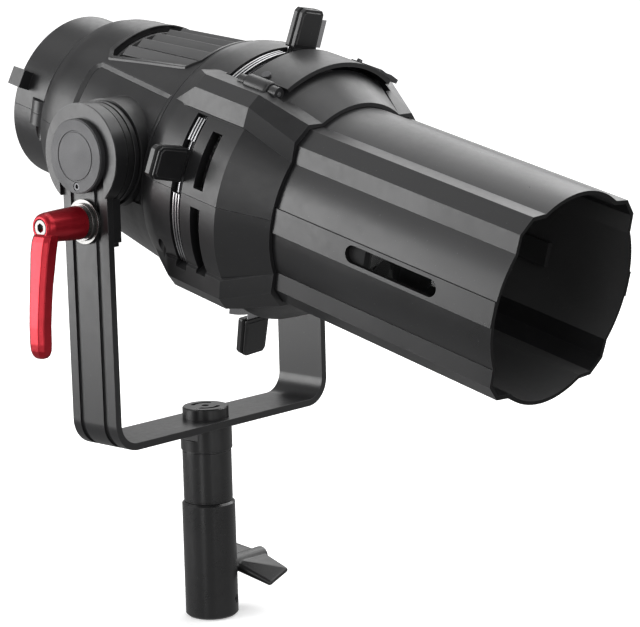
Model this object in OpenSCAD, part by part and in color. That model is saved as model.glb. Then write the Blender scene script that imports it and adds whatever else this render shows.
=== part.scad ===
// Ellipsoidal spotlight: projection head on a grooved U yoke with a stand receiver.
// Millimetres. +Z up, beam towards -Y, tilt axis along X. Origin: centre of the stand
// socket's mouth at the bottom of the receiver.

/* [Pose] */
// Nose-down angle of the head at rest, degrees
tilt_deg = 14.2; // [0:0.1:50]
// Height of the tilt axis above the socket's mouth
pivot_z = 279; // [240:1:320]
// How far the beam axis runs below the tilt axis
axis_drop = 2.1; // [0:0.1:6]

/* [Lens barrel] */
// Outer radius of the barrel's round sides
barrel_r = 56.5; // [45:0.5:70]
// Wall of the barrel
barrel_wall = 2.1; // [1.5:0.1:4]
// Front end of the barrel, measured along the beam from the tilt axis
barrel_end = 265; // [220:1:300]
// Rear end of the barrel inside the housing
barrel_start = 99; // [96:1:110]
// Distance of the barrel's side flats from the beam axis
flat_x = 57.2; // [56.8:0.1:60]
// Length of the focus slot in each side flat
slot_len = 60.5; // [40:0.5:80]
// Height of the focus slot
slot_h = 9.3; // [6:0.1:12]
// Rear end of the focus slot along the beam
slot_s = 168.6; // [150:0.2:180]

/* [Housing] */
// Radius of the bayonet ring at the back
ring_r = 49; // [45:0.5:52]
// Back face of the bayonet ring, behind the tilt axis
ring_s = 103; // [95:1:110]
// Radius of the gate housing's round sides
band_r = 73; // [68:0.5:78]
// Front edge of the gate housing's straight band
band_s = 90.5; // [85:0.5:95]
// Front mouth of the gate housing
mouth_s = 117.5; // [110:0.5:125]
// Depth of the bayonet lugs
lug_h = 7.4; // [5:0.1:9]

/* [Shutters] */
// Radius of the aperture in the shutter guide plates
gate_r = 24; // [15:0.5:28]
// Half width of a shutter blade
blade_w = 24.5; // [20:0.5:26]
// Rear face of the shutter stack along the beam
stack_s = 57.4; // [55:0.1:60]
// How far out the bottom shutter stands at rest
bottom_out = 10; // [0:0.5:20]

/* [Yoke] */
// Half of the yoke's outer width
yoke_x = 86; // [80:0.5:95]
// Thickness of the yoke strap
yoke_t = 4.1; // [3:0.1:6]
// Width of the yoke strap
yoke_w = 35.4; // [28:0.1:42]
// Underside of the yoke's bottom bar above the socket's mouth
bar_z = 114.7; // [105:0.1:125]

/* [Stand receiver] */
// Outer radius of the receiver tube
recv_r = 15.6; // [14:0.1:18]
// Height of the receiver tube
recv_h = 69; // [55:1:80]
// Radius of the socket for a 5/8 inch stud
socket_r = 8.0; // [7.95:0.01:8.2]
// Depth of the socket
socket_d = 52; // [40:1:60]

/* [Hidden] */
$fn = 96;
e = 0.01;
far = 400;
hub_dz = -36;                    // clamp lever's axis relative to the tilt axis
door_s0 = 71.5; door_s1 = 98.5;  // gobo door along the beam
hinge = [-43.1, 60.4];           // gobo door's hinge axis, across the beam
blade_t = 0.6; plate_t = 0.5; gap = 0.15;
pitch = blade_t + plate_t + 2*gap;
function pol(r, a) = [r*cos(a), r*sin(a)];
function plate_at(i) = stack_s + i*pitch;
function blade_at(i) = stack_s + plate_t + gap + i*pitch;

black = [0.09,0.09,0.095]; grey = [0.16,0.16,0.17]; steel = [0.72,0.72,0.74]; red = [0.62,0.05,0.08]; clear = [0.75,0.85,0.9,0.4];

// x across, y up from the beam axis, z forward along the beam from the tilt axis
module beam() { translate([0,0,pivot_z]) rotate([tilt_deg+90,0,0]) translate([0,-axis_drop,0]) children(); }
// along +X or -X from the tilt axis
module side(sx) { translate([0,0,pivot_z]) rotate([0,sx*90,0]) children(); }
module disc(r, s0, s1) { translate([0,0,s0]) cylinder(r=r, h=s1-s0); }
module tube(r, ri, s0, s1) { difference() { disc(r,s0,s1); disc(ri,s0-1,s1+1); } }
// wedge of the space around the beam between two polar angles
module sector(a0, a1, s0, s1, r) {
  m = (a0+a1)/2;
  translate([0,0,s0]) linear_extrude(height=s1-s0)
    polygon([[0,0], pol(r/cos((a1-a0)/4),a0), pol(r/cos((a1-a0)/4),(a0+m)/2), pol(r/cos((a1-a0)/4),m), pol(r/cos((a1-a0)/4),(a1+m)/2), pol(r/cos((a1-a0)/4),a1)]);
}

// ---------- shells ----------
module rear_outer() rotate_extrude($fn=128) polygon([[0,-ring_s],[ring_r-0.6,-ring_s],[ring_r,-ring_s+0.6],[ring_r,-76],[52,-75],[55.2,-70.5],[57.3,-64],[58.6,-56],[59.6,-45],[67.3,20],[69.3,31],[0,31]]);
module rear_inner() rotate_extrude($fn=128) polygon([[0,-ring_s-1],[45,-ring_s-1],[45,-74],[51.5,-66],[55.2,-54],[63.6,20],[66.2,31.2],[66.2,32],[0,32]]);
module lug(a) rotate([0,0,a]) translate([ring_r-1,-5.2,-ring_s]) cube([lug_h+1,10.4,9.6]);
module boss_hole() { for (sx=[-1,1]) translate([sx*50,axis_drop,0]) rotate([0,sx*90,0]) cylinder(r=30.05,h=40); }
module panel_cut() for (sx=[-1,1]) intersection() {
    difference() { disc(90,-44.5,30); translate([0,0,-46]) cylinder(r1=57.9,r2=67.6,h=77); }
    scale([sx,1,1]) translate([0,0,0]) rotate([0,90,0]) linear_extrude(height=80) polygon([[44,-16],[44,35.3],[42.4,39.2],[38.3,41.4],[-29.5,42.2],[-29.5,-19],[20,-25]]);
  }
module vent_plan(d) translate([0,20,0]) rotate([-90,0,0]) linear_extrude(height=60) polygon([[-40+d,35],[-37+d,38-d],[37-d,38-d],[40-d,35],[38.5-d,-22],[34-d,-26.5+d],[-34+d,-26.5+d],[-38.5+d,-22]]);
// x, s, height of the tip and of the head's seat, for the screws that close the shells
closers = [[48.6,-80,6.4,-5.6],[55,-40,9,-10],[62.5,46,9,-10]];
module screw_bores() for (sx=[-1,1]) for (p=closers) translate([sx*p[0],0,p[1]]) rotate([90,0,0]) {
    translate([0,0,-p[2]-0.5]) cylinder(r=1.3,h=p[2]-p[3]+1,$fn=32);
    translate([0,0,-p[3]]) cylinder(r=2.6,h=p[1]<-60?12:40,$fn=32);
  }
module rear_shell() difference() {
  union() { rear_outer(); lug(162.5); lug(42.5); lug(282.5);
    for (sx=[-1,1]) translate([sx*44.2,7.5,-80]) rotate([90,0,0]) cylinder(r=8.4,h=14.5); }
  difference() { rear_inner();
    for (sx=[-1,1]) translate([sx*55,0,-40]) rotate([90,0,0]) cylinder(r=5,h=20,center=true); }
  boss_hole(); vent_plan(0); panel_cut(); screw_bores();
}
module rear_shell_upper() color(black) beam() difference() { rear_shell(); translate([-far/2,-far+0.12,-far/2]) cube(far); }
module rear_shell_lower() color(black) beam() difference() { rear_shell(); translate([-far/2,-0.12,-far/2]) cube(far); }
module vent_louvres() color(grey) beam() intersection() {
  vent_plan(0.15);
  difference() { translate([0,0,-45]) cylinder(r1=58.4,r2=66.98,h=72.6); disc(50,-60,40); }
  union() {
    intersection() { difference() { translate([0,0,-45]) cylinder(r1=53.4,r2=62.32,h=72.6); translate([0,0,-45]) cylinder(r1=51.9,r2=60.8,h=72.6); }
      difference() { vent_plan(0.15); translate([0,0,-40]) linear_extrude(height=70) polygon([[-33,0],[-33,90],[33,90],[33,0]]); } }
    for (x=[-33,-21,-9,3,15,27]) translate([x+1.5,sqrt(59.5*59.5-x*x)-6.0,-31]) rotate([-6.3,0,0]) rotate([0,0,50]) translate([-6.4,-0.8,0]) cube([12.8,1.6,60]);
    for (s=[-37.9,24.7]) difference() { disc(s<0?56.6:62.4,s,s+1.6); disc(50,s-1,s+3); }
  }
}
function ridge_pts(rd,rc,ri,ad,ac) = [pol(rd,ad),pol(rc,ac),pol(rc,90-ac),pol(rd,90-ad),pol(ri,90-ad-1),pol(ri,45),pol(ri,ad+1)];
module ridge(q) rotate([0,0,q*90]) hull() {
  translate([0,0,33]) linear_extrude(height=e) polygon(ridge_pts(69.8,70.8,68,34.8,41.7));
  translate([0,0,50.5]) linear_extrude(height=band_s-50.5) polygon(ridge_pts(74.6,79.9,71,34.8,41.7));
  translate([0,0,mouth_s-e]) linear_extrude(height=e) polygon(ridge_pts(58.9,65.2,57,31.5,39.6));
}
module barrel_body(g, s0, s1) {
  translate([0,0,s0]) cylinder(r=barrel_r+g,h=s1-s0,$fn=128);
  for (q=[0:3]) rotate([0,0,q*90]) translate([0,0,s0]) linear_extrude(height=s1-s0)
    polygon([[30-g*0.3,48.2+g],[39.6+g*0.4,47.6+g],[47.6+g,39.6+g*0.4],[48.2+g,30-g*0.3],[20,20]]);
  translate([-flat_x-g,-6.7-g,s0]) cube([2*(flat_x+g),2*(6.7+g),s1-s0]);
}
module gate_outer() { rotate_extrude($fn=128) polygon([[0,31.9],[69.9,31.9],[71.6,36],[band_r,43],[band_r,band_s],[59,mouth_s],[0,mouth_s]]); for (q=[0:3]) ridge(q); }
module gate_cavity() {
  rotate_extrude($fn=128) polygon([[0,30],[66.6,30],[67,56],[69.8,56.4],[69.8,65],[67,65.4],[67,92],[60,103],[0,103]]);
  barrel_body(0.35,100,130);
}
module slots() {
  for (m=[0,1]) mirror([m,0,0]) {
    difference() { sector(146,217,56.5,64.5,92); disc(60,50,70); }
    difference() { sector(151,176,72.2,79.4,92); disc(60,50,90); }
    difference() { sector(184,216,72.2,79.2,92); disc(60,50,90); }
  }
  difference() { sector(54,126,56.5,71.2,92); disc(60,50,90); }
  difference() { sector(60,120,73.2,95,80); disc(60,50,100); }
  difference() { sector(234,306,56.5,64.5,92); disc(60,50,70); }
}
module gate_housing() difference() {
  union() {
    difference() { gate_outer(); gate_cavity(); slots();
      translate([hinge[0],hinge[1],72.1]) cylinder(r=4.1,h=18.6,$fn=48);
      sector(53.5,127,67.5,99.5,90); }
    difference() { intersection() { rotate_extrude($fn=128) polygon([[60,67.4],[band_r,67.4],[band_r,band_s],[68,99.9],[60,99.9]]); sector(53,127.5,67.4,99.6,90); }
      gate_cavity(); slots(); translate([hinge[0],hinge[1],72.1]) cylinder(r=4.1,h=18.6,$fn=48); }
    for (s=[67.5,90.6]) difference() { translate([hinge[0],hinge[1],s]) cylinder(r=3.6,h=4.7,$fn=48); gate_cavity(); }
    for (sx=[-1,1]) intersection() { translate([sx*62.5,0,46]) rotate([90,0,0]) cylinder(r=5,h=20,center=true); disc(69,30,60); }
  }
  translate([hinge[0],hinge[1],60]) cylinder(r=1.3,h=40,$fn=32);
  screw_bores();
}
module gate_housing_upper() color(black) beam() difference() { gate_housing(); translate([-far/2,-far+0.12,-far/2]) cube(far); }
module gate_housing_lower() color(black) beam() difference() { gate_housing(); translate([-far/2,-0.12,-far/2]) cube(far); }
module housing_screws() color(steel) beam() for (sx=[-1,1]) for (p=closers)
  translate([sx*p[0],0,p[1]]) rotate([90,0,0]) { translate([0,0,-p[2]]) cylinder(r=1.25,h=p[2]-p[3]+0.1,$fn=32); translate([0,0,-p[3]+0.05]) cylinder(r=2.3,h=2,$fn=32); }

// ---------- optics ----------
module lens(r, s, f, b, t, rim=4.2) { q = r-rim; rotate_extrude($fn=96) polygon(concat([[0,s-b]], [for (i=[1:9]) [q*i/10, s-b*(1-pow(i/10,2))]], [[q,s],[r,s],[r,s+t],[q,s+t]], [for (i=[9:-1:0]) [q*i/10, s+t+f*(1-pow(i/10,2))]])); }
module condenser_lens() color(clear) beam() lens(42,-52,9,0.4,5);
module condenser_ring() color(black) beam() difference() { union() { tube(44.9,39,-57,-41); tube(53,44.5,-57,-53); } disc(42.15,-52.9,-46.8); disc(39.5,-46.9,-40);  }
module field_lens() color(clear) beam() lens(46,24,6,6,4);
module field_ring() color(black) beam() difference() { union() { disc(49.5,20,32); tube(65.2,48,28.5,31); } disc(46.15,23.85,28.15); disc(43,15,35); disc(44.9,15,23.86); disc(44.9,28.1,35);
  for (sx=[-1,1]) translate([sx*53,axis_drop,0]) rotate([0,sx*90,0]) cylinder(r=30.5,h=30); }
module shutter_guides() color(steel) beam() for (i=[0:4]) tube(69.4,gate_r,plate_at(i),plate_at(i)+plate_t);

// ---------- shutters: drawn along +y, turned into place ----------
module blade(i, out, flip, tab=22.8) translate([0,out,blade_at(i)]) scale([flip,1,1]) linear_extrude(height=blade_t) difference() {
  union() {
    intersection() { translate([-blade_w,-1.5]) square([2*blade_w,72]); circle(r=70.6,$fn=96); }
    translate([-9.2,60]) square([tab,29.5]);
  }
}
module grip(i, out, flip) translate([0,out,stack_s-0.1]) scale([flip,1,1]) difference() {
  union() {
    linear_extrude(height=6.4) polygon([[-10.6,73.6],[7.2,73.6],[7.5,74.6],[7.2,93.4],[5.4,95.5],[-8.2,95.5],[-10.2,93.4],[-11,74.6]]);
    translate([0,0,-0.5]) linear_extrude(height=7.4) polygon([[-9.4,75.4],[6,75.4],[5.6,92],[4.2,93.8],[-7.2,93.8],[-9,92]]);
  }
  translate([-9.2,60,blade_at(i)-stack_s+0.1]) cube([30,29.5,blade_t]);
}
module blade_left() color(steel) beam() rotate([0,0,80]) blade(1,0,-1,15.6);
module grip_left() color(black) beam() rotate([0,0,80]) grip(1,0,-1);
module blade_right() color(steel) beam() rotate([0,0,-86]) blade(2,0,1,15.6);
module grip_right() color(black) beam() rotate([0,0,-86]) grip(2,0,1);
module blade_top() color(steel) beam() rotate([0,0,-7]) blade(0,0,1);
module grip_top() color(black) beam() rotate([0,0,-7]) grip(0,0,1);
module blade_bottom() color(steel) beam() rotate([0,0,-176]) blade(3,bottom_out,-1,15.6);
module grip_bottom() color(black) beam() rotate([0,0,-176]) grip(3,bottom_out,-1);

// ---------- gobo door ----------
module gobo_door() color(black) beam() difference() {
  union() {
    intersection() { tube(75.8,73.4,door_s0,door_s1); sector(56,124.5,door_s0-1,door_s1+1,90); translate([-42.2,0,0]) cube([100,100,200]); }
    difference() { translate([hinge[0],hinge[1],72.5]) cylinder(r=3.6,h=17.8,$fn=48); }
  }
  translate([hinge[0],hinge[1],60]) cylinder(r=1.35,h=40,$fn=32);
  difference() { translate([hinge[0],hinge[1],door_s0-1]) cylinder(r=4.3,h=2,$fn=48); }
  translate([hinge[0],hinge[1],90.3]) cylinder(r=4.3,h=9,$fn=48);
  rotate([0,0,-27]) translate([0,80,80]) rotate([90,0,0]) cylinder(r=1.6,h=10,$fn=32);
  rotate([0,0,30]) translate([0,80,80]) rotate([90,0,0]) cylinder(r=1.6,h=10,$fn=32);
}
module door_hinge_pin() color(steel) beam() translate([hinge[0],hinge[1],67.2]) cylinder(r=1.28,h=28.4,$fn=32);
module door_latch() color(grey) beam() { rotate([0,0,-27]) { translate([-2,75.85,76]) cube([11,1.5,22.4]); translate([7.5,75.85,86]) cube([7.5,2.4,12.4]); translate([0,79,80]) rotate([90,0,0]) cylinder(r=1.55,h=5,$fn=32); } }
module door_screw() color(steel) beam() rotate([0,0,30]) { translate([0,77.2,80]) rotate([90,0,0]) cylinder(r=2.6,h=1.35,$fn=32); translate([0,76,80]) rotate([90,0,0]) cylinder(r=1.55,h=2.4,$fn=32); }

// ---------- barrel ----------
module barrel_bore() { circle(r=barrel_r-barrel_wall,$fn=128); for (q=[0:3]) rotate(q*90) polygon([[29,46],[38.7,45.5],[45.5,38.7],[46,29],[20,20]]); }
module slot(sx, len) scale([sx,1,1]) translate([0,0,slot_s]) { translate([0,0,slot_h/2]) rotate([0,90,0]) cylinder(r=slot_h/2,h=150,$fn=48);
  translate([0,-slot_h/2,slot_h/2]) cube([150,slot_h,len-slot_h]);
  translate([0,0,len-slot_h/2]) rotate([0,90,0]) cylinder(r=slot_h/2,h=150,$fn=48); }
module lens_barrel() color(black) beam() difference() {
  union() { barrel_body(0,barrel_start,barrel_end); }
  translate([0,0,barrel_start-1]) linear_extrude(height=barrel_end-barrel_start+2) barrel_bore();
  slot(-1,slot_len); slot(1,slot_len-15);
}
module rear_objective() color(clear) beam() lens(49.5,108,9,4,5);
module rear_lens_ring() color(black) beam() difference() { disc(54.35,102,118); disc(49.65,107.85,113.15); disc(46.5,100,120); disc(49.2,100,107.86); }
module focus_carriage() color(black) beam() difference() { union() { disc(54.0,134,179); intersection() { disc(54.0,178,216); translate([50.6,-6.6,178]) cube([4,13.2,38]); } } disc(51.5,133,163); disc(46,133,181); disc(49.85,168.8,181);
  translate([40,0,173.3]) rotate([0,90,0]) cylinder(r=2.05,h=20,$fn=32); }
module front_objective() color(clear) beam() lens(49.6,169.2,5,10,3);
module front_lens_ring() color(black) beam() difference() { disc(49.75,172.3,177.5); disc(46.5,170,180); }
module focus_stud() color(steel) beam() translate([50.5,0,173.3]) rotate([0,90,0]) cylinder(r=2.0,h=16,$fn=32);
module focus_knob() color(black) beam() translate([0,0,173.3]) rotate([0,90,0]) difference() {
  union() { disc(4.3,54.6,57.9); disc(7,57.9,59.5); disc(10.5,59.5,72); for (k=[0:17]) rotate([0,0,k*20]) translate([10.3,0,60.5]) cylinder(r=0.9,h=10.5,$fn=12); }
  disc(2.05,50,67); }

// ---------- tilt joint ----------
module trunnion(sx) translate([0,0,pivot_z]) rotate([0,sx*90,0]) difference() {
  union() { disc(30,54,70.5); disc(19,70.4,74.6); if (sx>0) disc(28.2,70.5,78.4); }
  disc(6.06,50,90); disc(12,50,60);
}
module trunnion_left() color(black) trunnion(-1);
module trunnion_right() color(black) trunnion(1);
module brake_disc() color(black) side(-1) tube(28.2,6.06,74.6,78.4);
module friction_washer_left() color(grey) side(-1) tube(28,6.3,78.5,79.5);
module friction_washer_right() color(grey) side(1) tube(28,6.3,78.5,79.5);
// stadium that the arm's end fills, in a side frame where the arm runs along +-x
module arm_shape(g, sx) { circle(r=yoke_w/2+g,$fn=96); translate([sx>0?0:-200,-yoke_w/2-g]) square([200,yoke_w+2*g]); }
module yoke_end(sx) side(sx) difference() {
  union() { disc(28.3,79.6,80); disc(28.7,80,87.7); disc(28.4,87.6,88.1); }
  translate([0,0,yoke_x-yoke_t-0.02]) linear_extrude(height=10) arm_shape(0.03, sx);
  disc(6.3,70,90);
}
module yoke_end_left() color(black) yoke_end(-1);
module yoke_end_right() color(black) yoke_end(1);
module clamp_plate() color(black) side(-1) difference() {
  union() {
    tube(28.7,19.5,71.2,74.2);
    difference() { translate([-47.5,-16.6,75.4]) cube([27,33.2,6.2]); disc(28.8,70,90); }
    translate([-49.8,-15.2,76.2]) cube([4,30.4,5.4]);
    difference() { translate([-34,-11,71.2]) cube([12,22,3]); disc(22,70,80); }
    translate([-34,-11,73.9]) cube([5.1,22,4]);
  }
  translate([hub_dz,0,60]) cylinder(r=4.06,h=40,$fn=48);
}
module yoke_outline(d) {
  // d insets the strap's outer face
  ro = 16-d; zb = bar_z+d; x = yoke_x-d;
  for (sx=[-1,1]) translate([sx*(x-ro),zb+ro]) circle(r=ro,$fn=64);
  translate([-x,zb+ro]) square([2*x,pivot_z-0.1-zb-ro]);
  translate([-x+ro,zb]) square([2*(x-ro),ro+1]);
}
module yoke() color(black) difference() {
  union() {
    translate([0,yoke_w/2,0]) rotate([90,0,0]) linear_extrude(height=yoke_w) difference() { yoke_outline(0); yoke_outline(yoke_t); translate([-150,pivot_z]) square([300,50]); translate([-yoke_x+yoke_t,pivot_z-30]) square([2*(yoke_x-yoke_t),40]); }
    for (sx=[-1,1]) side(sx) translate([0,0,yoke_x-yoke_t]) cylinder(r=yoke_w/2,h=yoke_t);
  }
  // two grooves round the outside
  for (y=[-9.6,9.6]) translate([0,y+2,0]) rotate([90,0,0]) linear_extrude(height=4) difference() { translate([-150,bar_z-20]) square([300,pivot_z-bar_z+60]); yoke_outline(1.3); translate([-yoke_x+1.3,pivot_z-12]) square([2*(yoke_x-1.3),60]); }
  for (sx=[-1,1]) side(sx) disc(6.06,60,100);
  translate([-60,0,pivot_z+hub_dz]) rotate([0,-90,0]) cylinder(r=4.3,h=60,$fn=48);
  translate([0,0,bar_z-5]) cylinder(r=6.06,h=20,$fn=64);
}
module pivot_bolts() color(steel) for (sx=[-1,1]) side(sx) difference() { union() { disc(6.0,61,86.1); disc(9.5,86.1,88.1); disc(5.2,60,61); disc(3,58,60.2);} translate([0,0,87]) cylinder(r=2.9,h=4,$fn=6); }
module pivot_caps() color(grey) for (sx=[-1,1]) side(sx) difference() {
  union() { disc(20.4,88.15,91.3); disc(19.9,91.2,91.8); }
  tube(13.9,13.1,91.45,93);
  translate([sx*16.5,0,80]) cylinder(r=2.3,h=20,$fn=32);
}
module cap_screws() color(steel) for (sx=[-1,1]) side(sx) translate([sx*16.5,0,0]) difference() { disc(2.2,86.1,91.5); translate([0,0,90.2]) cylinder(r=1.15,h=4,$fn=6); }

// ---------- clamp lever ----------
module lv() translate([0,0,pivot_z+hub_dz]) rotate([0,-90,0]) children();   // z runs outward, +x is up
module lever_washer_large() color(steel) lv() tube(12.4,4.25,86.05,88.2);
module lever_washer_small() color(steel) lv() tube(10.4,4.25,88.25,90.1);
module lever_insert() color(steel) lv() difference() { union() { disc(4.0,72,97); disc(9.0,90.15,91.4); disc(5.6,91.3,96); for (k=[0:17]) rotate([0,0,k*20]) translate([5.4,-0.5,91.3]) cube([0.9,1,4.7]); } translate([0,0,91.5]) cylinder(r=1.9,h=10,$fn=32); }
module lever_handle() color(red) lv() difference() {
  union() {
    translate([0,0,91.5]) cylinder(r1=9.2,r2=8.2,h=19,$fn=48);
    hull() {
      translate([0,0,105]) cylinder(r=8.2,h=12,$fn=48);
      translate([0,0,117]) cylinder(r1=7.6,r2=6.6,h=1.7,$fn=48);
      translate([-12,-7.0,111.0]) cube([6,14,7.8]);
      translate([-12,-5.4,118]) cube([6,10.8,2.8]);
    }
    hull() {
      translate([-12,-7.0,111.0]) cube([6,14,7.8]);
      translate([-12,-5.4,118]) cube([6,10.8,2.8]);
      translate([-40,-6.2,116.0]) cube([6,12.4,7.4]);
      translate([-40,-4.6,123.4]) cube([6,9.2,1.8]);
    }
    hull() {
      translate([-40,-6.2,116.0]) cube([6,12.4,7.4]);
      translate([-40,-4.6,123.4]) cube([6,9.2,1.8]);
      translate([-65.8,0,118.2]) cylinder(r=4.6,h=6.6,$fn=32);
      translate([-65.6,0,124.7]) cylinder(r=3.2,h=1.7,$fn=32);
      translate([-65.2,0,117.2]) cylinder(r=3.4,h=1.1,$fn=32);
    }
  }
  disc(6.5,90,97.6); disc(2.3,97,104); disc(4.4,102.6,120);
}
module lever_screw() color(steel) lv() difference() { union() { disc(1.85,92.5,116); disc(4.32,115.3,118.5); } translate([0,0,116.0]) cylinder(r=2.6,h=4,$fn=6); }
module lever_spring() color(steel) lv() translate([0,0,102.9]) linear_extrude(height=12.2,twist=-360*5,slices=90,$fn=8) translate([3.0,0]) circle(r=0.6,$fn=6);

// ---------- stand end ----------
module yoke_bolt() color(black) difference() {
  union() { translate([0,0,bar_z+yoke_t+0.05]) cylinder(r=13.5,h=5.9); translate([0,0,bar_z+yoke_t+5.9]) cylinder(r1=13.5,r2=12.9,h=0.7); translate([0,0,86]) cylinder(r=6.0,h=bar_z+yoke_t-85,$fn=64); }
  for (a=[20,200]) rotate([0,0,a]) translate([0,0,bar_z+yoke_t+4.6]) rotate_extrude(angle=105,$fn=64) translate([6.4,0]) square([2.6,4]);
  translate([0,0,bar_z+yoke_t+5.2]) cylinder(r=2.2,h=4,$fn=32);
}
module yoke_collar() color(black) difference() { union() { disc(15.1,100.4,bar_z-0.05); disc(14.3,100,101); } disc(6.06,90,130); translate([-17,-9,107]) cube([3.4,18,20]); }
module spigot_neck() color(black) difference() { union() { disc(14.4,70.2,99.2); disc(13.9,69.05,70.3); disc(13.9,99.1,99.95); disc(9,56,70); } disc(6.06,85.5,120); }
module stand_receiver() color(black) difference() {
  union() { disc(recv_r,1.2,recv_h-1.2); translate([0,0,recv_h-1.2]) cylinder(r1=recv_r,r2=recv_r-1.1,h=1.2); translate([0,0,0]) cylinder(r1=recv_r-1.2,r2=recv_r,h=1.2); }
  disc(socket_r,-1,socket_d); translate([0,0,socket_d-0.01]) cylinder(r1=socket_r,r2=3,h=2.4);
  disc(9.05,56,80);
  translate([0,0,25.5]) rotate([0,90,0]) cylinder(r=4.05,h=30,$fn=48);
  rotate([0,0,-64]) translate([0,0,9.5]) rotate([0,90,0]) cylinder(r=2.55,h=30,$fn=32);
}
module receiver_screw() color(steel) rotate([0,0,-64]) translate([0,0,9.5]) rotate([0,90,0]) difference() { disc(2.5,8.3,14.9); translate([0,0,13.4]) cylinder(r=1.3,h=4,$fn=6); }
module t_stud() color(steel) translate([0,0,25.5]) rotate([0,90,0]) disc(4.0,8.4,31);
module t_wing() color(black) translate([0,0,25.5]) difference() {
  union() {
    rotate([0,90,0]) { disc(5.2,17,43); translate([0,0,43]) cylinder(r1=5.2,r2=4.2,h=0.9); }
    for (k=[0,180]) rotate([k,0,0]) hull() {
      translate([19,-1,0]) sphere(r=3.2,$fn=24); translate([41,-1,0]) sphere(r=2.6,$fn=24);
      translate([25.5,-23.2,-9.1]) sphere(r=1.7,$fn=24); translate([38.7,-23.4,-4.3]) sphere(r=1.7,$fn=24);
    }
  }
  rotate([0,90,0]) disc(4.02,10,31.05);
}

rear_shell_upper();
rear_shell_lower();
vent_louvres();
gate_housing_upper();
gate_housing_lower();
housing_screws();
condenser_lens();
condenser_ring();
field_lens();
field_ring();
shutter_guides();
blade_left();
blade_right();
blade_top();
blade_bottom();
grip_left();
grip_right();
grip_top();
grip_bottom();
gobo_door();
door_hinge_pin();
door_latch();
door_screw();
lens_barrel();
rear_objective();
rear_lens_ring();
focus_carriage();
front_objective();
front_lens_ring();
focus_stud();
focus_knob();
trunnion_left();
trunnion_right();
brake_disc();
yoke();
yoke_end_left();
yoke_end_right();
clamp_plate();
friction_washer_left();
friction_washer_right();
pivot_bolts();
pivot_caps();
cap_screws();
lever_washer_large();
lever_washer_small();
lever_insert();
lever_handle();
lever_screw();
lever_spring();
yoke_bolt();
yoke_collar();
spigot_neck();
stand_receiver();
receiver_screw();
t_stud();
t_wing();
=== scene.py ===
import bpy, bmesh, math
from mathutils import Vector, Matrix


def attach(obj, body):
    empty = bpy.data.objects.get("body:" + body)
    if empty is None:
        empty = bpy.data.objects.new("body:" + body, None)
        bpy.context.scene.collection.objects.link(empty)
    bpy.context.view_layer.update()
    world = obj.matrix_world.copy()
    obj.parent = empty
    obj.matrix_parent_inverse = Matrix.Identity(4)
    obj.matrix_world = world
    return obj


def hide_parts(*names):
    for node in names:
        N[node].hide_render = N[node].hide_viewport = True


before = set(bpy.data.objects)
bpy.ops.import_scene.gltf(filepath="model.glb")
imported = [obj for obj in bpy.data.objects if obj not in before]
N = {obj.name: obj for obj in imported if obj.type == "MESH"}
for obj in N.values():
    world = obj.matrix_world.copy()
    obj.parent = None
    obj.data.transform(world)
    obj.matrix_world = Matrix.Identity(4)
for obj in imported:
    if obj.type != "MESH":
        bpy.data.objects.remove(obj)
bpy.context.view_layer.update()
scene = bpy.context.scene

# ------------------------------------------------------------------ camera
cam_data = bpy.data.cameras.new("camera")
cam = bpy.data.objects.new("camera", cam_data)
scene.collection.objects.link(cam)
scene.camera = cam
az, el, roll = math.radians(-47.553), math.radians(9.796), math.radians(-1.443)
back = Vector((math.sin(az) * math.cos(el), -math.cos(az) * math.cos(el), math.sin(el)))
right = (-back).cross(Vector((0, 0, 1))).normalized()
up = right.cross(-back)
r2 = math.cos(roll) * right + math.sin(roll) * up
u2 = -math.sin(roll) * right + math.cos(roll) * up
m = Matrix((r2, u2, back)).transposed().to_4x4()
m.translation = Vector((-0.86726, -0.88557, 0.39161))
cam.matrix_world = m
cam_data.sensor_width = 36.0
cam_data.lens = 122.12
cam_data.clip_start = 0.05
cam_data.clip_end = 60.0
scene.view_settings.view_transform = "Standard"
scene.view_settings.look = "None"

# ------------------------------------------------------------------ node helpers
def new_mat(name):
    mt = bpy.data.materials.new(name)
    mt.use_nodes = True
    nt = mt.node_tree
    bsdf = nt.nodes["Principled BSDF"]
    return mt, nt, bsdf


def noise(nt, co, scale, detail=3.0, rough=0.5, stretch=None):
    n = nt.nodes.new("ShaderNodeTexNoise")
    n.inputs["Scale"].default_value = scale
    n.inputs["Detail"].default_value = detail
    n.inputs["Roughness"].default_value = rough
    if stretch is not None:
        mp = nt.nodes.new("ShaderNodeMapping")
        mp.inputs["Scale"].default_value = stretch
        nt.links.new(co, mp.inputs["Vector"])
        co = mp.outputs["Vector"]
    nt.links.new(co, n.inputs["Vector"])
    return n.outputs["Fac"]


def remap(nt, fac, a, b, c, d):
    n = nt.nodes.new("ShaderNodeMapRange")
    n.inputs["From Min"].default_value = a
    n.inputs["From Max"].default_value = b
    n.inputs["To Min"].default_value = c
    n.inputs["To Max"].default_value = d
    nt.links.new(fac, n.inputs["Value"])
    return n.outputs["Result"]


def mixcol(nt, fac, a, b):
    n = nt.nodes.new("ShaderNodeMix")
    n.data_type = "RGBA"
    if isinstance(fac, (int, float)):
        n.inputs["Factor"].default_value = fac
    else:
        nt.links.new(fac, n.inputs["Factor"])
    for key, v in (("A", a), ("B", b)):
        s = [i for i in n.inputs if i.name == key and i.type == "RGBA"][0]
        if isinstance(v, tuple):
            s.default_value = (*v, 1)
        else:
            nt.links.new(v, s)
    return [o for o in n.outputs if o.type == "RGBA"][0]


def math_node(nt, op, a, b=None):
    n = nt.nodes.new("ShaderNodeMath")
    n.operation = op
    for i, v in enumerate((a, b)):
        if v is None:
            continue
        if isinstance(v, (int, float)):
            n.inputs[i].default_value = v
        else:
            nt.links.new(v, n.inputs[i])
    return n.outputs[0]


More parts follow.
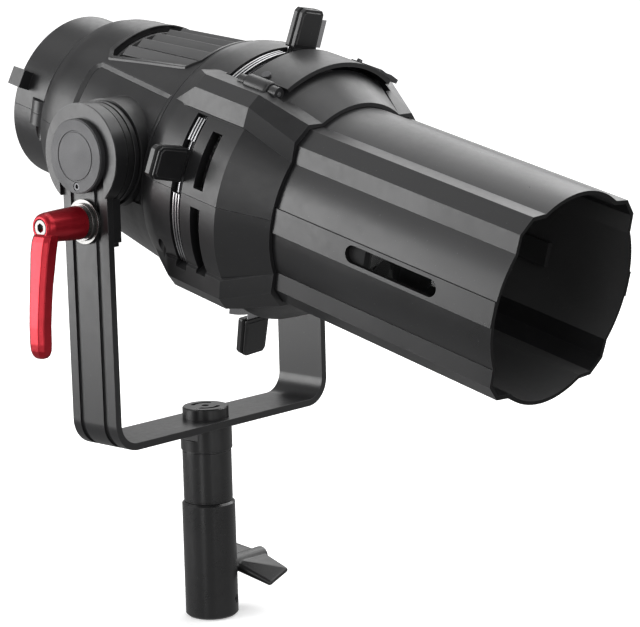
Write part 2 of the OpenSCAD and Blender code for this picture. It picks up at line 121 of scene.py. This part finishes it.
def bump(nt, bsdf, layers):
    """layers: (height socket, distance in metres, strength)"""
    prev = None
    for h, dist, strength in layers:
        b = nt.nodes.new("ShaderNodeBump")
        b.inputs["Distance"].default_value = dist
        b.inputs["Strength"].default_value = strength
        nt.links.new(h, b.inputs["Height"])
        if prev is not None:
            nt.links.new(prev, b.inputs["Normal"])
        prev = b.outputs["Normal"]
    nt.links.new(prev, bsdf.inputs["Normal"])


def edge_mask(nt, radius=0.0007, lo=0.02, hi=0.35):
    """1 on convex and concave edges, 0 on flats"""
    bv = nt.nodes.new("ShaderNodeBevel")
    bv.samples = 6
    bv.inputs["Radius"].default_value = radius
    g = nt.nodes.new("ShaderNodeNewGeometry")
    d = nt.nodes.new("ShaderNodeVectorMath")
    d.operation = "DOT_PRODUCT"
    nt.links.new(bv.outputs["Normal"], d.inputs[0])
    nt.links.new(g.outputs["Normal"], d.inputs[1])
    inv = math_node(nt, "SUBTRACT", 1.0, d.outputs["Value"])
    return remap(nt, inv, lo * 0.1, hi * 0.3, 0.0, 1.0)


def coords(nt):
    return nt.nodes.new("ShaderNodeTexCoord").outputs["Object"]


def black_paint(name, base=(0.0105, 0.0105, 0.0112), rough=0.36, grain=0.35, grain_mm=0.35, wear_and_edge_sheen=0.35, spec=0.5, streak=None):
    mt, nt, bs = new_mat(name)
    co = coords(nt)
    big = noise(nt, co, 22.0, 4.0, 0.55)
    mid = noise(nt, co, 260.0, 3.0, 0.6)
    fine = noise(nt, co, 1000.0 / grain_mm, 2.0, 0.6)
    col = mixcol(nt, remap(nt, big, 0.3, 0.7, 0.0, 1.0), base, tuple(c * 1.35 for c in base))
    # pale dust specks at random, and pale edges that are partly rub wear and partly a painted highlight
    speck = noise(nt, co, 900.0, 2.0, 0.5)
    speck = remap(nt, speck, 0.70, 0.80, 0.0, 0.5)
    col = mixcol(nt, speck, col, (0.09, 0.09, 0.092))
    if wear_and_edge_sheen > 0:
        # edges painted paler: rub wear plus a painted edge highlight, on concave edges too
        em = edge_mask(nt)
        patch = remap(nt, noise(nt, co, 120.0, 4.0, 0.65), 0.35, 0.65, 0.15, 1.0)
        w = math_node(nt, "MULTIPLY", em, patch)
        w = math_node(nt, "MULTIPLY", w, wear_and_edge_sheen)
        col = mixcol(nt, w, col, (0.12, 0.12, 0.125))
    nt.links.new(col, bs.inputs["Base Color"])
    r = remap(nt, big, 0.25, 0.75, rough - 0.05, rough + 0.06)
    r = math_node(nt, "ADD", r, remap(nt, mid, 0.3, 0.7, -0.03, 0.03))
    nt.links.new(r, bs.inputs["Roughness"])
    bs.inputs["Specular IOR Level"].default_value = spec
    layers = [(fine, 0.00004, grain), (mid, 0.00012, grain * 0.35)]
    if streak is not None:
        st = noise(nt, co, 400.0, 2.0, 0.5, streak)
        layers.append((st, 0.00005, 0.25))
    bump(nt, bs, layers)
    return mt


def metal(name, base, rough, stretch=None, scale=1200.0, bumpy=0.15, var=0.07, metallic=1.0, tint=None, dk=0.72):
    mt, nt, bs = new_mat(name)
    co = coords(nt)
    n1 = noise(nt, co, scale, 3.0, 0.6, stretch)
    n2 = noise(nt, co, 70.0, 4.0, 0.55)
    dark = tuple(c * dk for c in base)
    col = mixcol(nt, remap(nt, n1, 0.3, 0.7, 0.0, 1.0), dark, base)
    if tint:
        col = mixcol(nt, remap(nt, n2, 0.35, 0.7, 0.0, 0.5), col, tint)
    nt.links.new(col, bs.inputs["Base Color"])
    bs.inputs["Metallic"].default_value = metallic
    nt.links.new(math_node(nt, "ADD", remap(nt, n1, 0.3, 0.7, rough - var, rough + var), remap(nt, n2, 0.3, 0.7, -0.03, 0.05)), bs.inputs["Roughness"])
    bump(nt, bs, [(n1, 0.00003, bumpy)])
    return mt


def red_anodised(name):
    mt, nt, bs = new_mat(name)
    co = coords(nt)
    big = noise(nt, co, 60.0, 4.0, 0.55)
    fine = noise(nt, co, 2600.0, 2.0, 0.6)
    mid = noise(nt, co, 500.0, 3.0, 0.6)
    col = mixcol(nt, remap(nt, big, 0.3, 0.7, 0.0, 1.0), (0.34, 0.006, 0.014), (0.43, 0.010, 0.022))
    # edges painted a lighter red: a painted highlight along every edge
    em = edge_mask(nt, 0.0006)
    w = math_node(nt, "MULTIPLY", em, remap(nt, mid, 0.4, 0.65, 0.05, 0.6))
    col = mixcol(nt, w, col, (0.56, 0.06, 0.07))
    nt.links.new(col, bs.inputs["Base Color"])
    bs.inputs["Metallic"].default_value = 0.70
    nt.links.new(remap(nt, mid, 0.3, 0.7, 0.27, 0.36), bs.inputs["Roughness"])
    bs.inputs["Coat Weight"].default_value = 0.10
    bs.inputs["Coat Roughness"].default_value = 0.25
    bump(nt, bs, [(fine, 0.00003, 0.25), (mid, 0.00006, 0.12)])
    return mt


def glass(name):
    mt, nt, bs = new_mat(name)
    co = coords(nt)
    dust = noise(nt, co, 500.0, 3.0, 0.6)
    bs.inputs["Base Color"].default_value = (0.97, 0.985, 0.98, 1)
    bs.inputs["Transmission Weight"].default_value = 1.0
    bs.inputs["IOR"].default_value = 1.5
    nt.links.new(remap(nt, dust, 0.55, 0.85, 0.01, 0.12), bs.inputs["Roughness"])
    return mt


M = {
    "housing": black_paint("die_cast_black", rough=0.37, grain=0.34, grain_mm=0.45),
    # the slats take a copy of the black paint several times paler than the housing: painted light on their faces
    "louvre": black_paint("louvre_black_painted_lit", base=(0.060, 0.060, 0.061), rough=0.42, grain=0.30, grain_mm=0.45),
    "barrel": black_paint("barrel_black", rough=0.33, grain=0.22, grain_mm=0.40),
    "yoke": black_paint("yoke_black", rough=0.35, grain=0.26, grain_mm=0.35),
    "stand": black_paint("stand_black", base=(0.009, 0.009, 0.0095), rough=0.30, grain=0.05, grain_mm=0.30, wear_and_edge_sheen=0.2),
    "grip": black_paint("grip_black", base=(0.007, 0.007, 0.0075), rough=0.36, grain=0.30, grain_mm=0.30),
    # matte black, paler than the outer paint: painted light in the shaded interior and inner rings
    "baffle": black_paint("baffle_black", base=(0.029, 0.029, 0.0295), rough=0.66, grain=0.3, wear_and_edge_sheen=0.0, spec=0.4),
    # the boss rings take a darker copy of the black paint: painted shade that sinks them into the dark round the pivot
    "boss": black_paint("boss_black_painted_shade", base=(0.0080, 0.0080, 0.0085), rough=0.42, grain=0.25, grain_mm=0.40, wear_and_edge_sheen=0.0),
    # near-black, used as painted shade in the barrel's side slot, on the mouth's front face and round the grips
    "flock": black_paint("flock_black_painted_shade", base=(0.0060, 0.0060, 0.0062), rough=0.80, grain=0.2, wear_and_edge_sheen=0.0, spec=0.15),
    "carriage": black_paint("carriage_black", base=(0.018, 0.018, 0.0185), rough=0.78, grain=0.2, wear_and_edge_sheen=0.0, spec=0.20),
    "cap": metal("cap_grey", (0.055, 0.055, 0.058), 0.44, None, 1500.0, 0.30, 0.05, metallic=0.35),
    "steel": metal("bright_steel", (0.37, 0.37, 0.38), 0.32, (1.0, 0.05, 1.0), 1500.0, 0.12),
    # a paler copy of the steel for edges: painted highlight
    "strip": metal("steel_edge_painted_highlight", (0.52, 0.52, 0.53), 0.30, None, 1500.0, 0.05, 0.05, dk=0.88),
    "zinc": metal("turned_zinc", (0.20, 0.197, 0.193), 0.27, None, 2400.0, 0.0, 0.03, dk=0.90),
    "dark_steel": metal("black_steel", (0.10, 0.10, 0.105), 0.36, None, 1500.0, 0.2, 0.06, metallic=0.8),
    "red": red_anodised("lever_red"),
    "glass": glass("lens_glass"),
}
USE = {
    "housing": ["rear_shell_upper", "rear_shell_lower", "gate_housing_upper", "gate_housing_lower", "gobo_door"],
    "boss": ["trunnion_left", "trunnion_right", "brake_disc", "friction_washer_left", "friction_washer_right"],
    "carriage": ["focus_carriage", "rear_lens_ring"],
    "louvre": ["vent_louvres"],
    "barrel": ["lens_barrel"],
    "yoke": ["yoke", "yoke_end_left", "yoke_end_right", "clamp_plate"],
    "stand": ["yoke_bolt", "yoke_collar", "spigot_neck", "stand_receiver", "t_wing"],
    "grip": ["grip_left", "grip_right", "grip_top", "grip_bottom", "focus_knob"],
    "baffle": ["condenser_ring", "field_ring", "front_lens_ring"],
    "cap": ["pivot_caps"],
    "steel": ["shutter_guides", "blade_left", "blade_right", "blade_top", "blade_bottom", "door_hinge_pin", "focus_stud", "pivot_bolts", "lever_spring"],
    "zinc": ["lever_washer_large", "lever_washer_small", "lever_insert", "lever_screw"],
    "dark_steel": ["door_latch", "door_screw", "cap_screws", "receiver_screw", "t_stud", "housing_screws"],
    "red": ["lever_handle"],
    "glass": ["condenser_lens", "field_lens", "rear_objective", "front_objective"],
}
BEVEL = {"housing": 0.0006, "louvre": 0.0004, "barrel": 0.0006, "yoke": 0.0005, "stand": 0.0005, "grip": 0.0005, "baffle": 0.0002, "boss": 0.00015, "carriage": 0.0002,
         "cap": 0.0004, "steel": 0.00008, "zinc": 0.0002, "dark_steel": 0.0002, "fibre": 0.0001, "red": 0.0006, "glass": 0.0002}


def soften(o, width, angle=14.0):
    me = o.data
    if "custom_normal" in me.attributes:
        me.attributes.remove(me.attributes["custom_normal"])
    for p in me.polygons:
        p.use_smooth = True
    w = o.modifiers.new("weld", "WELD")
    w.merge_threshold = 0.000004
    d = o.modifiers.new("planar", "DECIMATE")
    d.decimate_type = "DISSOLVE"
    d.angle_limit = math.radians(0.4)
    b = o.modifiers.new("bevel", "BEVEL")
    b.width = width
    b.segments = 2
    b.limit_method = "ANGLE"
    b.angle_limit = math.radians(angle)
    b.use_clamp_overlap = True
    b.miter_outer = "MITER_ARC"
    b.harden_normals = True
    n = o.modifiers.new("normals", "WEIGHTED_NORMAL")
    n.keep_sharp = True


for key, names in USE.items():
    for n in names:
        o = N[n]
        o.data.materials.clear()
        o.data.materials.append(M[key])
        soften(o, BEVEL[key])

# ------------------------------------------------------------------ beam coordinates, in metres: x across, h up from the beam axis, s forward along it
CT, ST = math.cos(math.radians(14.2)), math.sin(math.radians(14.2))


def beam(x, h, s_):
    return Vector((x, -CT * s_ - ST * (h - 0.0021), 0.279 - ST * s_ + CT * (h - 0.0021)))


def to_beam(p):
    q = Vector(p) - Vector((0, 0, 0.279))
    return q.x, -ST * q.y + CT * q.z + 0.0021, -CT * q.y - ST * q.z


# the inside faces of barrel and housing take a matte black paler than the outer paint: a matte finish, with painted
# light lifting the shaded interior
def inside_painted_fill(o, limit, lo=-9.0, hi=9.0):
    o.data.materials.append(M["baffle"])
    for p in o.data.polygons:
        x, h, s_ = to_beam(o.matrix_world @ p.center)
        n = p.normal
        nx, nh = n.x, -ST * n.y + CT * n.z
        r = math.hypot(x, h)
        if r > 1e-6 and (nx * x + nh * h) / r < -0.3 and r < limit and lo < s_ < hi:
            p.material_index = 1


inside_painted_fill(N["lens_barrel"], 0.0575)
# the side slot's walls and the mouth's front face are painted near-black: painted shade
barrel_me = N["lens_barrel"].data
barrel_me.materials.append(M["flock"])
mouth = max(to_beam(N["lens_barrel"].matrix_world @ v.co)[2] for v in barrel_me.vertices)
for p in barrel_me.polygons:
    x, h, s_ = to_beam(N["lens_barrel"].matrix_world @ p.center)
    across = (p.normal.x * x + (-ST * p.normal.y + CT * p.normal.z) * h) / math.hypot(x, h)
    # walls of the side slot: painted shade
    if abs(across) < 0.3 and abs(x) > 40 / 1000 and s_ < mouth - 0.02 and math.hypot(x, h) > 0.045 and abs(h) < 0.035:
        p.material_index = 2
    # front face of the mouth: painted shade
    if -CT * p.normal.y - ST * p.normal.z > 0.9 and to_beam(N["lens_barrel"].matrix_world @ p.center)[2] > mouth - 0.002:
        p.material_index = 2
inside_painted_fill(N["gate_housing_upper"], 0.0705)
inside_painted_fill(N["gate_housing_lower"], 0.0705)
inside_painted_fill(N["rear_shell_upper"], 0.0665)
inside_painted_fill(N["rear_shell_lower"], 0.0665)


# ------------------------------------------------------------------ pieces modelled here
def from_bm(bm, name, mat, body, width=0.0, merge=1e-7):
    bmesh.ops.remove_doubles(bm, verts=bm.verts, dist=merge)
    bmesh.ops.recalc_face_normals(bm, faces=bm.faces)
    me = bpy.data.meshes.new(name)
    bm.to_mesh(me)
    bm.free()
    for p in me.polygons:
        p.use_smooth = True
    o = bpy.data.objects.new(name, me)
    scene.collection.objects.link(o)
    me.materials.append(mat)
    if width:
        b = o.modifiers.new("bevel", "BEVEL")
        b.width = width
        b.segments = 2
        b.limit_method = "ANGLE"
        b.angle_limit = math.radians(20)
        b.harden_normals = True
        n = o.modifiers.new("normals", "WEIGHTED_NORMAL")
        n.keep_sharp = True
    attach(o, body)
    return o


def swept(bm, rows, closed):
    """rows: a list of cross-sections, each the same number of points in order round the section"""
    vs = [[bm.verts.new(p) for p in row] for row in rows]
    k = len(rows[0])
    count = len(vs) if closed else len(vs) - 1
    for a in range(count):
        ra, rb = vs[a], vs[(a + 1) % len(vs)]
        for b in range(k):
            bm.faces.new((ra[b], ra[(b + 1) % k], rb[(b + 1) % k], rb[b]))
    if not closed:
        bm.faces.new(vs[0])
        bm.faces.new(list(reversed(vs[-1])))


def inset(poly, d):
    """the closed polygon moved inwards by d"""
    n = len(poly)
    area2 = sum(poly[i][0] * poly[(i + 1) % n][1] - poly[(i + 1) % n][0] * poly[i][1] for i in range(n))
    sgn = 1.0 if area2 > 0 else -1.0
    out = []
    for i in range(n):
        (x0, y0), (x1, y1), (x2, y2) = poly[i - 1], poly[i], poly[(i + 1) % n]
        a = Vector((x1 - x0, y1 - y0)).normalized()
        b = Vector((x2 - x1, y2 - y1)).normalized()
        na, nb = Vector((-a.y, a.x)) * sgn, Vector((-b.y, b.x)) * sgn
        m_ = (na + nb) / (1.0 + na.dot(nb))
        out.append((x1 + d * m_.x, y1 + d * m_.y))
    return out


def divide(poly, step):
    n = len(poly)
    counts = [max(1, int(math.ceil(math.dist(poly[i], poly[(i + 1) % n]) / step))) for i in range(n)]

    def run(q):
        out = []
        for i in range(n):
            a, b = q[i], q[(i + 1) % n]
            for k in range(counts[i]):
                t = k / counts[i]
                out.append((a[0] + (b[0] - a[0]) * t, a[1] + (b[1] - a[1]) * t))
        return out
    return run


def shell_r(s_):
    """outer radius of the rear shell in mm at s mm"""
    pts = [(-45.0, 59.6), (20.0, 67.3), (31.0, 69.3)]
    for (s0, r0), (s1, r1) in zip(pts, pts[1:]):
        if s_ <= s1 or s1 == 31.0:
            return r0 + (r1 - r0) * (s_ - s0) / (s1 - s0)


# raised lip round the louvre window: polygon in (x, s), mm
vent = [(-40, -35), (-37, -38), (37, -38), (40, -35), (38.5, 22), (34, 26.5), (-34, 26.5), (-38.5, 22)]
run = divide(vent, 2.0)
inner, outer = run(vent), run(inset(vent, -2.5))
rows = []
for (xa, sa), (xb, sb) in zip(inner, outer):
    ha = math.sqrt(shell_r(sa) ** 2 - xa * xa)
    hb = math.sqrt(shell_r(sb) ** 2 - xb * xb)
    lift = 0.35 + 1.15 * min(1.0, abs(xb) / 38.0) ** 4
    rows.append([beam(xb / 1000, (hb - 0.35) / 1000, sb / 1000), beam(xb / 1000, (hb + lift) / 1000, sb / 1000),
                 beam(xa / 1000, (ha + 0.22) / 1000, sa / 1000), beam(xa / 1000, (ha - 1.9) / 1000, sa / 1000)])
bm = bmesh.new()
swept(bm, rows, True)
from_bm(bm, "vent_lip", M["housing"], "head", 0.00045)

# louvre slats in their frame, seen through the window
bm = bmesh.new()


def prism(section, s0, s1, steps=1):
    """section in (x, h) mm at s = 0, carried along s and following the shell's taper"""
    rows_ = []
    for k in range(steps + 1):
        s_ = s0 + (s1 - s0) * k / steps
        g = (shell_r(s_) - shell_r(0.0)) / shell_r(0.0)
        rows_.append([beam(x / 1000, h * (1 + g) / 1000, s_ / 1000) for x, h in section])
    swept(bm, rows_, False)


for xb, hb, xt, ht in ((-36.9, 50.3, -32.4, 55.6), (-26.6, 54.6, -22.4, 59.4), (-16.1, 57.7, -12.2, 62.1), (-5.6, 60.1, -2.3, 63.7), (4.9, 60.8, 7.9, 63.9), (14.8, 57.6, 19.0, 61.6), (24.6, 53.0, 28.9, 57.4)):
    d_ = Vector((xt - xb, ht - hb)).normalized()
    n_ = Vector((d_.y, -d_.x)) * 1.5
    prism([(xb, hb), (xt, ht), (xt + n_.x, ht + n_.y - 0.4), (xb + n_.x, hb + n_.y)], -31.0, 25.6)
for s0, s1, r0, r1 in ((-37.9, -36.3, 50.0, 56.6), (24.7, 26.3, 50.0, 65.6)):
    rows = []
    for k in range(25):
        a = math.radians(90 - 41 + 82 * k / 24)
        rows.append([beam(r * math.cos(a) / 1000, r * math.sin(a) / 1000, sv / 1000) for r, sv in ((r0, s0), (r1, s0), (r1, s1), (r0, s1))])
    swept(bm, rows, False)
for sx in (-1, 1):
    prism([(sx * 33.4, 41.5), (sx * 38.2, 37.8), (sx * 38.2, 39.6), (sx * 33.4, 43.2)], -37.5, 26.0)
louvres = from_bm(bm, "louvre_slats", M["louvre"], "head", 0.0003, merge=1e-9)
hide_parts("vent_louvres")

# chamfered edge inside each side panel: polygon in (s, h), mm
panel = [(-44, -16), (-44, 35.3), (-42.4, 39.2), (-38.3, 41.4), (29.5, 42.2), (29.5, -19), (-20, -25)]
run = divide(panel, 2.0)
outer, inner = run(panel), run(inset(panel, 3.0))
for sx, side_name in ((-1, "left"), (1, "right")):
    rows = []
    keep = []
    for (sa, ha), (sb, hb) in zip(outer, inner):
        ra, rb = shell_r(sa), 57.95 + (sb + 46) * 0.12597
        rc = 57.9 + (sa + 46) * 0.12597
        pa = beam(sx * math.sqrt(ra * ra - ha * ha) / 1000 - sx * 0.00002, ha / 1000, sa / 1000)
        pb = beam(sx * math.sqrt(rb * rb - hb * hb) / 1000, hb / 1000, sb / 1000)
        pc = beam(sx * math.sqrt(rc * rc - ha * ha) / 1000, ha / 1000, sa / 1000)
        rows.append([pa, pb, pc] if sx > 0 else [pa, pc, pb])
        keep.append(math.hypot(sa, ha - 2.1) > 30.6 and math.hypot(sb, hb - 2.1) > 30.6)
    n = len(rows)
    start = next((i for i in range(n) if not keep[i - 1] and keep[i]), 0)
    bm = bmesh.new()
    current = []
    for k in range(n + 1):
        i = (start + k) % n
        if keep[i] and k < n:
            current.append(rows[i])
        else:
            if len(current) > 1:
                swept(bm, current, False)
            current = []
    from_bm(bm, "panel_edge_" + side_name, M["housing"], "head", 0.0003)

# edges of the stacked shutter guides, seen in the slots between the blade tabs, in a paler copy of the steel: a painted
# highlight
bm = bmesh.new()
for a0, a1 in ((147.5, 158), (181.5, 215.5), (-36, -8), (16, 33), (55.5, 71), (95, 124.5), (-124.5, -98), (-74, -55.5)):
    for sc_ in (58.25, 60.2, 62.15):
        rows = []
        steps = max(2, int((a1 - a0) / 2.0))
        for k in range(steps + 1):
            a = math.radians(a0 + (a1 - a0) * k / steps)
            row = []
            for r, w in ((69.0, -0.45), (72.2, -0.45), (72.2, 0.45), (69.0, 0.45)):
                row.append(beam(r * math.cos(a) / 1000, r * math.sin(a) / 1000, (sc_ + w) / 1000))
            rows.append(row)
        swept(bm, rows, False)
from_bm(bm, "shutter_edge_strips", M["strip"], "head", 0.00012)


def remeshed(parts, name, voxel, smooth_iter, mat, body, nodes):
    """one smooth casting out of several overlapping closed meshes"""
    me = bpy.data.meshes.new(name)
    bm = bmesh.new()
    for p in parts:
        bm.from_mesh(p)
        bpy.data.meshes.remove(p)
    bm.to_mesh(me)
    bm.free()
    o = bpy.data.objects.new(name, me)
    scene.collection.objects.link(o)
    r = o.modifiers.new("join", "REMESH")
    r.mode = "VOXEL"
    r.voxel_size = voxel
    r.use_smooth_shade = True
    sm = o.modifiers.new("soft", "SMOOTH")
    sm.factor = 0.5
    sm.iterations = smooth_iter
    dg = bpy.context.evaluated_depsgraph_get()
    done = bpy.data.meshes.new_from_object(o.evaluated_get(dg))
    o.modifiers.clear()
    o.data = done
    bpy.data.meshes.remove(me)
    done.name = name
    for p in done.polygons:
        p.use_smooth = True
    done.materials.clear()
    done.materials.append(mat)
    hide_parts(*nodes)
    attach(o, body)
    return o


def mesh_of(bm, name):
    bmesh.ops.remove_doubles(bm, verts=bm.verts, dist=1e-8)
    bmesh.ops.recalc_face_normals(bm, faces=bm.faces)
    me = bpy.data.meshes.new(name)
    bm.to_mesh(me)
    bm.free()
    return me


def revolved(profile, place, seg=96):
    """closed profile of (axial, radius) turned about the axis; place(axial, ry, rz) gives the point"""
    bm = bmesh.new()
    rows = []
    for k in range(seg):
        a = 2 * math.pi * k / seg
        rows.append([place(t, r * math.cos(a), r * math.sin(a)) for t, r in profile])
    swept(bm, rows, True)
    return bm


# near-black band round each grip, painted shade standing in for the groove there: placed in the blade's own plane, mm
def in_blade(turn, out, flip, x, y, z):
    a = math.radians(turn)
    x, y = x * flip, y + out
    return beam((x * math.cos(a) - y * math.sin(a)) / 1000, (x * math.sin(a) + y * math.cos(a)) / 1000, (57.3 + z) / 1000)


grip_edge = [(-10.6, 73.6), (7.2, 73.6), (7.5, 74.6), (7.2, 93.4), (5.4, 95.5), (-8.2, 95.5), (-10.2, 93.4), (-11, 74.6)]
for side_name, turn, out, flip, z0, z1 in (("left", 80, 0, -1, 3.1, 5.6), ("right", -86, 0, 1, 3.1, 5.6), ("top", -7, 0, 1, 2.5, 4.2), ("bottom", -176, 10, -1, 3.1, 5.6)):
    ring_in, ring_out = inset(grip_edge, 0.5), inset(grip_edge, -0.07)
    rows = []
    for (xa, ya), (xb, yb) in zip(ring_in, ring_out):
        rows.append([in_blade(turn, out, flip, xa, ya, z0), in_blade(turn, out, flip, xb, yb, z0), in_blade(turn, out, flip, xb, yb, z1), in_blade(turn, out, flip, xa, ya, z1)])
    bm = bmesh.new()
    swept(bm, rows, True)
    from_bm(bm, "grip_groove_shade_" + side_name, M["flock"], "shutter_" + side_name)

# the top blade's tab shows beside its grip, in the paler steel copy that paints a highlight on it
bm = bmesh.new()
swept(bm, [[in_blade(-7, 0, 1, x, y, z) for x, z in ((12.8, 0.9), (16.6, 0.9), (16.6, 1.5), (12.8, 1.5))] for y in (74.3, 90.0)], False)
from_bm(bm, "blade_top_edge", M["strip"], "shutter_top", 0.0001)

# the door's hinge eye is a fuller casting than the bare sleeve
HX, HY = -43.1, 60.4
eye = [(72.7, 3.4), (72.7, 4.5), (73.4, 5.0), (74.4, 5.2), (87.8, 5.2), (88.8, 5.0), (89.6, 4.4), (89.6, 3.4)]
bm = revolved([(t, r / 1000) for t, r in eye], lambda t, y, z: beam(HX / 1000 + y, HY / 1000 + z, t / 1000))
from_bm(bm, "hinge_eye", M["housing"], "door", merge=1e-8)

# the red lever: a turned hub and a tapering arm with broad chamfers
LZ = 0.243
hub = [(-91.5, 6.5), (-91.5, 9.0), (-92.0, 9.3), (-104, 8.75), (-114.5, 8.05), (-116.9, 7.5), (-118.2, 6.6), (-118.75, 5.6), (-118.6, 4.75), (-118.1, 4.42), (-102.6, 4.42), (-102.6, 2.3), (-97.6, 2.3), (-97.6, 6.5)]
hub_me = mesh_of(revolved([(a / 1000, r / 1000) for a, r in hub], lambda t, y, z: Vector((t, y, LZ + z))), "hub")
arm = [(242.0, -113.0, 3.6, 5.6), (238.4, -114.8, 4.8, 7.0), (235.5, -115.8, 5.0, 7.2), (229.5, -117.1, 5.0, 7.1), (222, -118.1, 4.9, 6.8), (212, -119.5, 4.7, 6.4), (202, -120.6, 4.6, 6.2),
       (190, -121.6, 4.6, 6.0), (181, -121.8, 4.6, 6.0), (177, -121.8, 4.4, 5.8), (174.6, -121.8, 3.7, 5.0), (173.2, -121.8, 2.7, 3.7), (172.6, -121.8, 1.5, 2.2)]
bm = bmesh.new()
rows = []
for z, xc, tx, wy in arm:
    ch = min(1.9, tx * 0.45)
    pts = [(-tx, -(wy - ch * 1.5)), (-tx, wy - ch * 1.5), (-(tx - ch), wy), (tx - ch, wy), (tx, wy - ch * 1.2), (tx, -(wy - ch * 1.2)), (tx - ch, -wy), (-(tx - ch), -wy)]
    rows.append([Vector(((xc + a) / 1000, b / 1000, z / 1000)) for a, b in pts])
swept(bm, rows, False)
arm_me = mesh_of(bm, "arm")
# the screw's recess stays open through the arm's root: the arm starts below it
lever = remeshed([hub_me, arm_me], "lever_handle_cast", 0.00030, 5, M["red"], "lever", ["lever_handle"])

# the T wing: a round core with two thin swept wings
def ball_cloud(balls):
    bm = bmesh.new()
    for c_, r in balls:
        bmesh.ops.create_icosphere(bm, subdivisions=3, radius=r / 1000, matrix=Matrix.Translation(Vector(c_) / 1000))
    res = bmesh.ops.convex_hull(bm, input=bm.verts)
    gone = list({g for g in res["geom_interior"] + res["geom_unused"] if isinstance(g, bmesh.types.BMVert)})
    bmesh.ops.delete(bm, geom=gone, context="VERTS")
    return bm


parts = []
for k in (1, -1):
    parts.append(mesh_of(ball_cloud([((19, -1 * k, 25.5), 3.2), ((41, -1 * k, 25.5), 2.6), ((25.5, -23.2 * k, 25.5 - 9.1 * k), 1.7), ((38.7, -23.4 * k, 25.5 - 4.3 * k), 1.7)]), "wing"))
core = [(16.6, 4.02), (16.6, 5.0), (17.0, 5.4), (42.9, 5.4), (43.7, 4.9), (44.0, 4.2), (44.0, 0.01), (31.05, 0.01), (31.05, 4.02)]
parts.append(mesh_of(revolved([(a / 1000, r / 1000) for a, r in core], lambda t, y, z: Vector((t, y, 0.0255 + z)), 48), "core"))
wing = remeshed(parts, "t_wing_cast", 0.00045, 6, M["stand"], "t_screw", ["t_wing"])


# ------------------------------------------------------------------ studio
def area(name, az_, el_, power, size=(1.0, 1.0), dist=1.6, aim=(0, -0.08, 0.25), color=(1, 1, 1), spread=None):
    l = bpy.data.lights.new(name, "AREA")
    l.shape = "RECTANGLE"
    l.size, l.size_y = size
    l.energy = power
    l.color = color
    if spread:
        l.spread = math.radians(spread)
    o = bpy.data.objects.new(name, l)
    scene.collection.objects.link(o)
    a, e_ = math.radians(az_), math.radians(el_)
    loc = Vector(aim) + dist * Vector((math.cos(a) * math.cos(e_), math.sin(a) * math.cos(e_), math.sin(e_)))
    o.location = loc
    o.rotation_mode = "QUATERNION"
    o.rotation_quaternion = (Vector(aim) - loc).to_track_quat("-Z", "Y")
    return o


area("key_left_back", 135, 6, 20.6)
area("right", 0, 32, 10.0)
area("front_low", 270, 6, 5.5)
area("front_right", 315, 32, 6.0)
area("front_high", 300, 62, 6.5)
area("back_right_high", 30, 62, 5.1)
area("back_right", 35, 32, 5.0)
area("back_left_high", 120, 62, 2.4)
area("left", 160, 32, 3.0)
area("strip_left", 196, 3, 4.5, size=(0.32, 1.3))
area("strip_front", 246, 3, 2.2, size=(0.22, 1.1))

world = bpy.data.worlds.new("studio")
scene.world = world
world.use_nodes = True
bg = world.node_tree.nodes["Background"]
bg.inputs["Color"].default_value = (1, 1, 1, 1)
bg.inputs["Strength"].default_value = 0.36

# pale sweep: glows more the farther it lies from the object, so that it stays even to the horizon
fm, nt, bs = new_mat("pale_floor")
co = coords(nt)
nt.links.new(mixcol(nt, noise(nt, co, 3.0, 3.0), (0.90, 0.90, 0.90), (0.93, 0.93, 0.93)), bs.inputs["Base Color"])
bs.inputs["Roughness"].default_value = 0.9
bs.inputs["Specular IOR Level"].default_value = 0.1
bs.inputs["Emission Color"].default_value = (1, 1, 1, 1)
ln = nt.nodes.new("ShaderNodeVectorMath")
ln.operation = "LENGTH"
nt.links.new(co, ln.inputs[0])
nt.links.new(remap(nt, ln.outputs["Value"], 0.2, 2.6, 0.34, 0.95), bs.inputs["Emission Strength"])
bm = bmesh.new()
bmesh.ops.create_grid(bm, x_segments=8, y_segments=8, size=18.0)
me = bpy.data.meshes.new("floor")
bm.to_mesh(me)
bm.free()
floor = bpy.data.objects.new("floor", me)
scene.collection.objects.link(floor)
floor.location = (0, 0, -0.0005)
me.materials.append(fm)
# the sweep is there for the eye only: it throws no light back under the housing
floor.visible_diffuse = False
floor.visible_glossy = False
